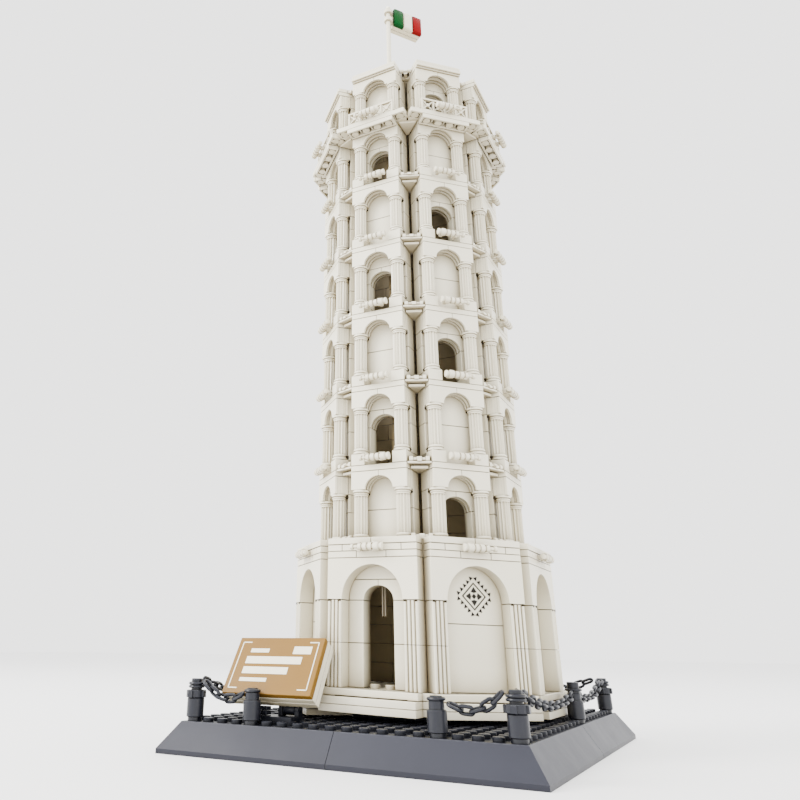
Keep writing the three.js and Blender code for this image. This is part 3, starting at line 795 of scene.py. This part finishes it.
def bars_around(face, z):
    """The bars and their clips on all eight sides, each bar mirrored from the one beside it."""
    bars = around(lambda side: bar_ornament(face, z, -1 if side % 2 else 1)[0])
    holds = around(lambda side: bar_ornament(face, z)[1])
    return bars, holds


# ---- ground cornice
def cornice_shape():
    """Three layers of tiles with staggered seams over a dark strip of painted shadow."""
    blocks, dark = Shape(), Shape()

    for row, (cuts, lip) in enumerate((((-24, -8, 8, 24), 0), ((-24, -16, 16, 24), 0), ((-24, 0, 24), 0.25))):
        y, z = (-GROUND_FACE - lip, GROUND_LAYER[1]), (row * PLATE + SEAM, (row + 1) * PLATE - SEAM)
        for lo, hi in zip(cuts, cuts[1:]):
            blocks.block((lo + SEAM, hi - SEAM), y, z)
    blocks.plan([(-24, -58.0), (24, -58.0), (18.3, -44.2), (-18.3, -44.2)], (0.2, BRICK - 0.3))
    dark.block((-23.5, 23.5), (-65.6, -59), (-0.3, 0.25))
    lift = Matrix.Translation((0, 0, CORNICE_Z))
    return Shape().merge(blocks, lift), Shape().merge(dark, lift)


blocks, dark = cornice_shape()
bars, holds = bars_around(GROUND_FACE, CORNICE_Z + 4.6)
build("ground_cornice_bricks", IVORY, (on_sides(blocks), 0.16), matrix=TOWER, stands_for=("ground_cornice",))
build("ground_cornice_gaps", SHADOW, (on_sides(dark), 0), matrix=TOWER)
build("ground_cornice_bars", IVORY, (bars, 0), (holds, 0.12), matrix=TOWER)


# ---- galleries
def fluted_column(shape, rings, x, height):
    """A column with twelve flutes, a stepped foot and a stepped capital."""
    top = height - PLATE
    at = (x, COLUMN_Y, 0)
    foot = [(4.0, 0.05), (4.25, 0.2), (4.25, 1.15), (3.7, 1.3)]
    foot += [(3.7, 1.75), (4.05, 1.9), (4.05, 2.5), (3.6, 3.1)]
    steps = [(3.6, 0.0), (3.6, 0.7), (4.0, 1.0), (4.0, 1.45), (3.65, 1.55), (3.65, 1.95), (4.4, 2.1)]
    capital = [(r, top + rise) for r, rise in steps] + [(4.4, height - 0.15), (4.2, height)]
    rings.lathe(foot, 32, at)
    rings.lathe(capital, 32, at)
    shape.lathe([(3.55, 3.05), (3.55, top + 0.05)], 72, at, flutes=12, depth=0.75)


def ribbed_arch(blocks, ribs, y, z, half, width, rise):
    """An arch brick: a shell at the front and back, a hollow between them and a rib along its middle."""
    front, back = y
    middle = (front + back) / 2
    low = (z[0], z[1] - 0.1)
    arch_block(blocks, half, z, width, rise, (front, front + 1.5))
    arch_block(blocks, half, z, width, rise, (back - 1.5, back))
    arch_block(ribs, half - 0.15, low, width, rise, (middle - 0.7, middle + 0.7), split=False)
    arch_block(ribs, half - 0.25, low, width + 1.6, rise + 1.2, (front + 1.2, back - 1.2), split=False)


def gallery_panel(door):
    """One side of a gallery: two columns and an arch, in front of a doorway or a blind wall."""
    blocks, ribs, columns, rings, dark = Shape(), Shape(), Shape(), Shape(), Shape()
    spring = 8 * PLATE
    top = GALLERY_H
    across = (-GALLERY_HALF, GALLERY_HALF)
    arch = (GALLERY_HALF, 16, 6.8)
    for x in (-COLUMN_X, COLUMN_X):
        fluted_column(columns, rings, x, spring)
    ribbed_arch(blocks, ribs, (-FACE, -48.5), (spring, top - SEAM), *arch)
    if door:
        low = spring - BRICK
        for sign in (-1, 1):
            jamb = sorted((sign * 8.05, sign * GALLERY_HALF))
            blocks.block(jamb, GALLERY_WALL, (0.1, low - SEAM))
        ribbed_arch(blocks, ribs, GALLERY_WALL, (low + SEAM, spring - SEAM), *arch)
        blocks.block(across, GALLERY_WALL, (spring + SEAM, top - SEAM))
    else:
        middle = 5 * PLATE
        blocks.block(across, GALLERY_WALL, (-2 * PLATE, middle - SEAM))
        blocks.block(across, GALLERY_WALL, (middle + SEAM, top - SEAM))
    # Dark dots beside the columns' feet and capitals: painted shadows of the corner brackets
    for x in (-15.2, 15.2):
        for z in (1.6, spring - 1.4):
            dark.lathe([(0.75, -49.4), (0.75, -48.2)], 12, (x, 0, z), "Y")
    for x in (-9.1, 9.1):
        dark.lathe([(0.6, -48.8), (0.6, -48.2)], 10, (x, 0, spring - 1.2), "Y")
    return blocks, ribs, columns, rings, dark


# Doorways and blind walls alternate from side to side and from storey to storey
panels = {door: gallery_panel(door) for door in (True, False)}
arcades = {}
for odd_door in (True, False):
    layers = [Shape() for _ in range(5)]
    for side in range(8):
        for layer, part in zip(layers, panels[(side % 2 == 1) == odd_door]):
            layer.merge(part, turn(side))
    blocks, ribs, columns, rings, dark = layers
    name = f"arcade_{'odd' if odd_door else 'even'}"
    arcades[odd_door] = mesh(name, TOWER_IVORY, (blocks, 0.15), (ribs, 0), (columns, 0), (rings, 0))
arcade_gaps = mesh("arcade_gaps", SHADOW, (dark, 0))


# ---- floors between galleries
def corner_bracket():
    """Two small ledges between neighbouring sides with a clip lying on them."""
    ledge, clip, dark = Shape(), Shape(), Shape()
    ledge.plan([(-6.4, -57.6), (6.4, -57.6), (1.3, -44.6), (-1.3, -44.6)], (2.4, 3.4))
    ledge.plan([(-4.6, -54.6), (4.6, -54.6), (0.9, -44.6), (-0.9, -44.6)], (0.2, 1.7))
    profile = [(1.2, -5.4), (1.7, -5.2), (1.7, -3.4), (1.0, -3.2), (1.0, -1.4), (1.5, -1.2)]
    clip.lathe(profile + [(r, -x) for r, x in reversed(profile)], 14, (0, -56.0, 4.7), "X")
    clip.block((-1.1, 1.1), (-58.4, -52.6), (3.4, 4.6))
    # Dark boxes under the ledge and the clip: painted shadow
    dark.block((-3.6, 3.6), (-53.4, -52.0), (1.72, 2.3))
    dark.block((-1.0, 1.0), (-53.8, -45.2), (3.52, 3.8))
    return ledge, clip, dark


def floor_panel():
    """One side of a floor: a long plate and four bricks over it, under the next gallery's columns."""
    blocks = Shape()
    wall_front, wall_back = GALLERY_WALL
    blocks.block((-GALLERY_HALF, GALLERY_HALF), (-FACE, wall_back), (SEAM, PLATE - SEAM))
    for x in (-COLUMN_X, COLUMN_X):
        for y in ((-FACE, -48.4), (wall_front, wall_back)):
            blocks.block((x - 3.95, x + 3.95), y, (PLATE + SEAM, 3 * PLATE - SEAM))
    return blocks


def eight_ring(outer, inner, z):
    """A thin eight-sided ring of wedge-shaped plates."""
    t = math.tan(EIGHTH / 2)
    wedge = [(-outer * t, -outer), (outer * t, -outer), (inner * t, -inner), (-inner * t, -inner)]
    return on_sides(Shape().plan(wedge, z))


ledge, clip, bracket_dark = corner_bracket()
clips = on_corners(clip)
bars, holds = bars_around(FACE, PLATE + 2.9)
floor_mesh = mesh(
    "floor_bricks", TOWER_IVORY, (on_sides(floor_panel()), 0.15), (on_corners(ledge), 0.2), (clips, 0),
    (eight_ring(43.2, 38.2, (0.3, 2.9)), 0.1), (bars, 0), (holds, 0.12),
)
floor_gaps = mesh("floor_gaps", SHADOW, (on_corners(bracket_dark), 0))

for storey in range(2, 9):
    level = CORNICE_Z + (storey - 2) * STOREY
    if 2 < storey < 8:
        place = at_level(level)
        piece(f"floor_{storey}_bricks", floor_mesh, matrix=place, stands_for=(f"floor_{storey}",))
        piece(f"floor_{storey}_gaps", floor_gaps, matrix=place)
    place = at_level(level + BRICK)
    name = "belfry_arcade" if storey == 8 else f"gallery_{storey}"
    piece(f"arcade_{storey}_bricks", arcades[storey % 2 == 0], matrix=place, stands_for=(name,))
    piece(f"arcade_{storey}_gaps", arcade_gaps, matrix=place)


# ---- core and the brackets on the cornice
def core_shape():
    """Two crossing walls of bricks that brace the shaft."""
    core = Shape()
    low, high = GROUND_Z + 0.3, ROOF_Z - 0.3
    courses = round((high - low) / BRICK)
    course = (high - low) / courses
    thin = (-PLATE / 2, PLATE / 2)
    for step in range(courses):
        rows = (low + step * course + SEAM / 2, low + (step + 1) * course - SEAM / 2)
        cuts = (-34, -10, 14, 34) if step % 2 else (-34, -18, 6, 34)
        for lo, hi in zip(cuts, cuts[1:]):
            run = (lo + SEAM / 2, hi - SEAM / 2)
            core.block(run, thin, rows)
            core.block(thin, run, rows)
    return core


build("core_bricks", DIM, (core_shape(), 0.15), matrix=TOWER, stands_for=("tower_core",))

# The first gallery's small brackets stand on the ground cornice
low_clips = Shape().merge(clips, Matrix.Translation((0, 0, BRICK - 3.5)))
build("cornice_clips", IVORY, (low_clips, 0), matrix=at_level(CORNICE_Z))


# ---- belfry
BELFRY_FACE = FACE + STUD


def belfry_ledge():
    """One side of the ledge: a hollow tray on a hollow channel, with pins and studs."""
    blocks, pins = Shape(), Shape()
    face = BELFRY_FACE
    hollow = (-face + 1.6, -FACE - 1.7)
    blocks.block((-24, 24), (-face, -face + 1.5), (0, PLATE))
    for x in (-24, 22.5):
        blocks.block((x, x + 1.5), hollow, (0, PLATE))
    blocks.block((-22.4, 22.4), hollow, (2.1, PLATE - 0.02))
    for x in (-16, 16):
        blocks.block((x - 0.5, x + 0.5), hollow, (0.2, 2.1))
    blocks.plan([(-23.2, -FACE - 1.6), (23.2, -FACE - 1.6), (18.3, -44.3), (-18.3, -44.3)], (0.0, PLATE))
    channel = (-PLATE + 0.1, -SEAM)
    within = (-face + 1.25, -FACE - 1.95)
    blocks.block((-16, 16), (-face, -face + 1.2), channel)
    blocks.block((-16, 16), (-FACE - 1.9, -FACE - 0.7), channel)
    for x in (-16, 14.8):
        blocks.block((x, x + 1.2), within, channel)
    for x in (-12, -4, 4, 12):
        pins.lathe([(2.3, -PLATE + 0.4), (2.3, 2.2)], 18, (x, -60.4, 0))
    for x in (-8, 0, 8):
        pins.block((x - 0.4, x + 0.4), within, (-1.6, 2.2))
    for x in (-20, 20):
        pins.lathe([(2.4, 0.1), (2.4, 2.2)], 18, (x, -60.4, 0))
        pins.stud(x, -face + STUD / 2, PLATE)
    for x in (-COLUMN_X, COLUMN_X):
        blocks.block((x - 3.95, x + 3.95), (-FACE, GALLERY_WALL[1]), (PLATE + SEAM, 3 * PLATE - SEAM))
    return blocks, pins


def belfry_lattice():
    """A railing of crossed bars, four bays long, with a small diamond where each pair crosses."""
    lattice = Shape()
    low, high = PLATE + 0.1, PLATE + 10.4
    a, b = low + 1.4, high - 1.2
    bay, half = 7.7, 0.45
    lattice.block((-16, 16), (-63.1, -61.3), (low, low + 1.5))
    lattice.block((-16, 16), (-63.1, -61.3), (high - 1.3, high))
    for step in range(5):
        x = bay * (step - 2)
        lattice.block((x - 0.6, x + 0.6), (-62.9, -61.5), (a, b))
    for step in range(4):
        start = bay * (step - 2)
        for z0, z1, y in ((a, b, (-62.7, -61.9)), (b, a, (-62.5, -61.7))):
            rise = z1 - z0
            length = math.hypot(bay, rise)
            ox, oz = -rise / length * half, bay / length * half
            end = start + bay
            bar = [(start - ox, z0 - oz), (end - ox, z1 - oz), (end + ox, z1 + oz), (start + ox, z0 + oz)]
            lattice.upright(bar, y)
        x, z, r = start + bay / 2, (a + b) / 2, 1.5
        lattice.upright([(x, z - r), (x + r, z), (x, z + r), (x - r, z)], (-62.85, -61.55))
    return lattice


def belfry_web():
    """The triangular web that fills the gap under two neighbouring ledges."""
    web, dots = Shape(), Shape()
    web.plan([(-7.6, -62.6), (7.6, -62.6), (1.4, -46.0), (-1.4, -46.0)], (0.7, 2.3))
    web.plan([(-5.4, -58.6), (5.4, -58.6), (1.0, -46.0), (-1.0, -46.0)], (-1.4, 0.5))
    # Dark dots on the web: painted shadow in its holes
    for x, y in ((-4.6, -61), (4.6, -61), (0, -59.5)):
        dots.lathe([(1.1, 0.4), (1.1, 0.72)], 12, (x, y, 0))
    return web, dots


blocks, pins = belfry_ledge()
web, dots = belfry_web()
bars, holds = bars_around(BELFRY_FACE, PLATE + 2.6)
place = at_level(BELFRY_Z)
build(
    "belfry_ledges", TOWER_IVORY, (on_sides(blocks), 0.16), (on_sides(pins), 0), (on_corners(web), 0.2),
    (bars, 0), (holds, 0.1), matrix=place, stands_for=("belfry_cornice",),
)
build("belfry_lattice", IVORY, (on_sides(belfry_lattice()), 0.08), matrix=place)
build("belfry_holes", SHADOW, (on_corners(dots), 0), matrix=place)


# ---- roof
def roof_slab():
    """One side of the roof: a wide slab with a lip, and three tiles on it."""
    slab = Shape()
    second = (PLATE + SEAM, 2 * PLATE)
    slab.block((-16, 16), (-57.4, -44.2), (0.1, PLATE - SEAM))
    slab.block((-16, 16), (-58.7, -57.5), (0.9, PLATE - SEAM))
    slab.block((-GALLERY_HALF, GALLERY_HALF), (-57.6, -51.2), second)
    slab.block((-GALLERY_HALF, -SEAM), (-50.9, -44.2), second)
    slab.block((SEAM, GALLERY_HALF), (-50.9, -44.2), second)
    return slab


def roof_clip():
    """A clip between two slabs, and a dark box of painted shadow in its hole."""
    clip, dark = Shape(), Shape()
    half = [(1.3, -3.4), (1.3, -1.2), (0.8, -1.1)]
    clip.lathe(half + [(r, -x) for r, x in reversed(half)], 12, (0, -51.6, 3.4), "X")
    clip.block((-1.0, 1.0), (-51.6, -45), (1.0, 2.6))
    dark.block((-2.6, 2.6), (-50.4, -48.8), (1.2, 2.8))
    return clip, dark


clip, dark = roof_clip()
place = at_level(ROOF_Z)
build(
    "roof_slab_bricks", IVORY, (on_sides(roof_slab()), 0.2), (on_corners(clip), 0),
    (eight_ring(44.3, 42.0, (0.3, 2.9)), 0.1), matrix=place, stands_for=("roof_slabs",),
)
build("roof_gaps", SHADOW, (on_corners(dark), 0), matrix=place)

deck, deck_studs, collar = Shape(), Shape(), Shape()
deck.plan(octagon(41.6), (0.0, PLATE))
for i in range(-5, 5):
    for j in range(-5, 5):
        x, y = STUD * (i + 0.5), STUD * (j + 0.5)
        near_pole = math.hypot(x - POLE_X, y - POLE_Y) < 7
        if max(abs(x), abs(y), (abs(x) + abs(y)) / math.sqrt(2)) < 38.6 and not near_pole:
            deck_studs.stud(x, y, PLATE)
steps = [(3.9, 0.0), (3.9, 1.6), (3.2, 1.8), (3.2, 4.7), (2.9, 5.0), (1.9, 5.0)]
collar.lathe([(r, PLATE + rise) for r, rise in steps], 28, (POLE_X, POLE_Y, 0))
parts = ((deck, 0.2), (deck_studs, 0), (collar, 0))
build("roof_deck_plate", IVORY, *parts, matrix=place, stands_for=("roof_deck",))


# ---- flagpole and flag
POLE_FOOT = ROOF_Z + PLATE + 0.3
POLE_LENGTH = 80.0
FLAG_WIDTH, FLAG_HEIGHT = 24, 16
FLAG_START = 4  # from the pole's axis to the flag's edge

pole = Shape()
steps = [(1.45, 0.0), (1.6, 0.3), (1.6, 79.2), (1.3, 79.8), (0.7, POLE_LENGTH)]
pole.lathe([(r, POLE_FOOT + rise) for r, rise in steps], 24, (POLE_X, POLE_Y, 0))
build("pole_rod", IVORY, (pole, 0), matrix=TOWER, stands_for=("flagpole",))

flag_foot = Matrix.Translation((POLE_X * MM, POLE_Y * MM, (POLE_FOOT + POLE_LENGTH - 17.5) * MM))
FLAG = TOWER @ flag_foot @ Matrix.Rotation(math.radians(55), 4, "Z")
backing, clamps = Shape(), Shape()
flag_x = (FLAG_START, FLAG_START + FLAG_WIDTH)
backing.block(flag_x, (0.05, PLATE - SEAM), (0, FLAG_HEIGHT))
backing.block(flag_x, (PLATE + SEAM, 2 * PLATE), (0, FLAG_HEIGHT))
for z in (4, 12):
    clamps.lathe([(2.05, z - 1.6), (3.0, z - 1.5), (3.0, z + 1.5), (2.05, z + 1.6)], 24)
    clamps.block((2.2, 4.6), (0.1, 1.7), (z - 1.5, z + 1.5))
on_flag = {"body": "flag", "matrix": FLAG}
build("flag_plates", IVORY, (backing, 0.2), (clamps, 0), stands_for=("flag_backing",), **on_flag)


def flag_tile(lo, hi):
    """A tile with a sloping edge all round its front."""
    verts = []
    for inset, y in ((0.0, -0.05), (0.0, -2.1), (0.95, -3.15)):
        x0, x1, z1 = lo + inset, hi - inset, FLAG_HEIGHT - inset
        verts += [(x0, y, inset), (x1, y, inset), (x1, y, z1), (x0, y, z1)]
    return Shape().add(verts, [(3, 2, 1, 0), (8, 9, 10, 11), *ring_faces(3, 4)])


for index, (name, material) in enumerate((("green", GREEN), ("white", IVORY), ("red", RED))):
    lo = FLAG_START + STUD * index + 0.12
    tile = flag_tile(lo, lo + 7.76)
    build(f"flag_{name}", material, (tile, 0.18), stands_for=(f"flag_tile_{name}",), **on_flag)


# ---- plaque
BOARD_HALF, BOARD_HEIGHT = 24, 28
BOARD_TILT = math.radians(32)
HINGE_R = 2.5  # clear space about the hinge line
BARREL_R = 2.2
HINGE = Matrix.Translation((HINGE_X * MM, HINGE_Y * MM, HINGE_Z * MM))
BOARD = HINGE @ Matrix.Rotation(-BOARD_TILT, 4, "X")

board_x = (-BOARD_HALF, BOARD_HALF)
board_z = (0, BOARD_HEIGHT)
front = -HINGE_R - 3 * PLATE
face_plate, marks, back_plates = Shape(), Shape(), Shape()
face_plate.block(board_x, (front, front + PLATE - 0.25), board_z)
back_plates.block(board_x, (front + PLATE + 0.02, front + 2 * PLATE - SEAM), board_z)
back_plates.block(board_x, (front + 2 * PLATE + SEAM, front + 3 * PLATE), board_z)

# Plain bars stand where the plaque has lines of text, inside four corner marks
frame_out, frame_in, frame_end = 21.6, 21.1, 16.5
frame_low, frame_high = 2.3, 25.7
bars = [((8.6, 18.4), (19.6, 23.4)), ((-15.5, -5.0), (20.2, 22.2)), ((-16.5, 14.5), (14.6, 18.2))]
bars += [((-16.5, 8.5), (9.6, 13.0)), ((-16.5, -1.5), (5.8, 7.6))]
for sign in (-1, 1):
    upright = sorted((sign * frame_out, sign * frame_in))
    bars += [(upright, (4.5, 23.5)), (upright, (frame_low, 4.4)), (upright, (23.6, frame_high))]
    across = sorted((sign * frame_out, sign * frame_end))
    bars += [(across, (frame_low, frame_low + 0.5)), (across, (frame_high - 0.5, frame_high))]
for x, z in bars:
    marks.block(x, (front - 0.06, front + 0.2), z)

on_board = {"body": "plaque", "matrix": BOARD}
build("plaque_board", GOLD, (face_plate, 0.2), stands_for=("plaque_face",), **on_board)
build("plaque_marks", IVORY, (marks, 0), **on_board)
build("plaque_plates", IVORY, (back_plates, 0.25), stands_for=("plaque_backing",), **on_board)

leaf, barrel = Shape(), Shape()
leaf_lo, leaf_hi = 5.1, 10.9
leaf.block((leaf_lo, leaf_hi), (-2.3, 0.9), (1.2, 11.9))
ends = [(1.0, 5.05), (2.1, leaf_lo), (BARREL_R, 5.3)], [(BARREL_R, 10.7), (2.1, leaf_hi), (1.0, 10.95)]
barrel.lathe(ends[0] + ends[1], 28, along="X")
build("plaque_leaf", DARK, (leaf, 0.25), (barrel, 0), stands_for=("plaque_hinge_leaf",), **on_board)

stand, knuckles = Shape(), Shape()
left, right = HINGE_X + 5 - 2.4, HINGE_X + 11 + 2.4
start = right - 24
stand_z, top_z = BASE_Z + 0.05, HINGE_Z - HINGE_R
stand.block((start, right), (-86.3, -73.9), (stand_z, top_z))
for layer in range(4):
    lo = stand_z + 0.1 + layer * 1.78
    y = (-86.5 + 0.25 * (layer % 2), -82.2)
    stand.block((start + 0.1 * layer, left - 2.2), y, (lo, lo + 1.55))
for x0, x1 in ((left, left + 2.1), (right - 2.1, right)):
    half = [(1.0, 0.0), (2.15, 0.1), (BARREL_R, 0.3)]
    profile = [(r, x0 + x) for r, x in half] + [(r, x1 - x) for r, x in reversed(half)]
    knuckles.lathe(profile, 28, (0, HINGE_Y, HINGE_Z), "X")
    stand.block((x0, x1), (-80.0, -75.8), (top_z - 0.4, 18.3))
build("plaque_stand", DARK, (stand, 0.18), (knuckles, 0), stands_for=("plaque_hinge_base",))


# ---- stage, light and camera
floor_data = bpy.data.meshes.new("stage_floor")
floor_data.from_pydata([(-6, -6, 0), (6, -6, 0), (6, 6, 0), (-6, 6, 0)], [], [(0, 1, 2, 3)])
floor_object = put("stage_floor", floor_data)
floor_material = bpy.data.materials.new("stage_floor")
floor_material.use_nodes = True
floor_shader = floor_material.node_tree.nodes["Principled BSDF"]
floor_shader.inputs["Base Color"].default_value = (0.93, 0.93, 0.93, 1)
floor_shader.inputs["Roughness"].default_value = 0.6
floor_data.materials.append(floor_material)

world = bpy.data.worlds.new("studio")
bpy.context.scene.world = world
world.use_nodes = True
background = world.node_tree.nodes["Background"]
background.inputs["Color"].default_value = (1.0, 0.995, 0.985, 1)
background.inputs["Strength"].default_value = 2.9


def area(name, location, size, power, colour=(1, 1, 1)):
    """A soft lamp that points at the tower's lower half."""
    target = (0, 0, 0.2)
    lamp = bpy.data.lights.new(name, "AREA")
    lamp.shape = "RECTANGLE"
    lamp.size, lamp.size_y = size
    lamp.energy = power
    lamp.color = colour
    obj = put(name, lamp)
    obj.location = location
    obj.rotation_euler = (Vector(target) - Vector(location)).to_track_quat("-Z", "Y").to_euler()


area("key", (-1.1, -1.1, 1.0), (0.7, 0.9), 44, (1.0, 0.985, 0.96))
area("fill", (1.3, -0.8, 0.5), (0.8, 1.0), 3)
area("top", (0.0, 0.1, 1.5), (0.9, 0.9), 18)

# The camera stands low at the right of the front corner and looks up the tower
CAMERA_AT = (0.1608865, -0.398406, 0.0429962)
yaw, pitch, roll = -0.5325, 0.4437, 0.0125
camera = bpy.data.cameras.new("camera")
camera_object = put("camera", camera)
bpy.context.scene.camera = camera_object
forward = Vector((math.sin(yaw) * math.cos(pitch), math.cos(yaw) * math.cos(pitch), math.sin(pitch)))
level_right = Vector((math.cos(yaw), -math.sin(yaw), 0))
level_up = level_right.cross(forward)
right_axis = level_right * math.cos(roll) + level_up * math.sin(roll)
up_axis = -level_right * math.sin(roll) + level_up * math.cos(roll)
rotation = Matrix((right_axis, up_axis, -forward)).transposed()
camera_object.matrix_world = Matrix.Translation(CAMERA_AT) @ rotation.to_4x4()
camera.sensor_width = 36.0
camera.lens = 32.11
camera.shift_x = 0.1208
camera.shift_y = -0.1108
camera.clip_start = 0.01
camera.clip_end = 50
